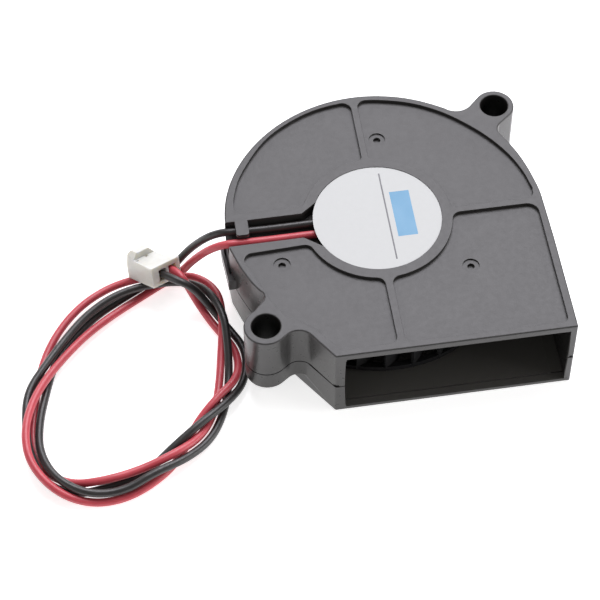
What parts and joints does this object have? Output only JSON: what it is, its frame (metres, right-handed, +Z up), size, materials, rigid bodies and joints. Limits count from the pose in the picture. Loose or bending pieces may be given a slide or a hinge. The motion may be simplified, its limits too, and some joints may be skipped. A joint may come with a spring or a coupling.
{
  "type": "dc blower fan",
  "caption": "Flat centrifugal blower: scroll-shaped casing with a rectangular air outlet, round inlet underneath, hub motor, bladed wheel, diagonal screw ears and a two-wire lead with plug.",
  "frame": {"origin": "on the plane that the casing stands on, under the middle of the casing (leads and plug left out)", "axes": "+Z up through the label side, -Y out of the air outlet, +X to the right when looking into the outlet"},
  "size_m": [0.0874, 0.0641, 0.015],
  "materials": {
    "casing_plastic": "fine spark-eroded texture, dark grey",
    "label_film": "white printed film with a plain pale blue block, no text",
    "brass_turned": "turned",
    "sintered_bronze": "sintered, oiled",
    "black_fibre": "matt",
    "white_acetal": "satin",
    "impeller_plastic": "satin black",
    "plated_steel": "drawn, plated",
    "magnet_rubber": "bonded ferrite",
    "ground_steel": "ground",
    "lamination_steel": "stamped stack",
    "insulator_plastic": "satin natural",
    "enamelled_copper": "enamelled wire",
    "board_laminate": "green solder mask",
    "tinned_metal": "bright tin",
    "chip_epoxy": "moulded epoxy",
    "chip_ceramic": "fired ceramic",
    "black_pvc": "satin PVC",
    "red_pvc": "satin PVC",
    "white_nylon": "milky nylon"
  },
  "bodies": {
    "casing": {"motor_housing": "casing_plastic", "inlet_cover": "casing_plastic", "label": "label_film", "bearing_holder": "brass_turned", "sleeve_bearing": "sintered_bronze", "oil_retainer_ring": "black_fibre", "thrust_pad": "white_acetal", "stator_core": "lamination_steel", "upper_insulator": "insulator_plastic", "lower_insulator": "insulator_plastic", "stator_coils": "enamelled_copper", "circuit_board": "board_laminate", "winding_pins": "tinned_metal", "hall_driver_ic": "chip_epoxy", "chip_capacitor": "chip_ceramic", "chip_resistors": "chip_epoxy", "reverse_diode": "chip_epoxy", "black_lead": "black_pvc", "red_lead": "red_pvc", "lead_solder_joints": "tinned_metal", "connector_housing": "white_nylon", "crimp_terminals": "tinned_metal"},
    "rotor": {"impeller": "impeller_plastic", "rotor_yoke": "plated_steel", "ring_magnet": "magnet_rubber", "rotor_boss": "brass_turned", "shaft": "ground_steel", "retaining_ring": "white_acetal", "thrust_washer": "white_acetal"}
  },
  "joints": [
    {"name": "rotor_spin", "type": "hinge", "parent": "casing", "child": "rotor", "pos_m": [-0.00093, 0.00001, 0.0075], "axis": [0, 0, 1], "continuous": true}
  ]
}
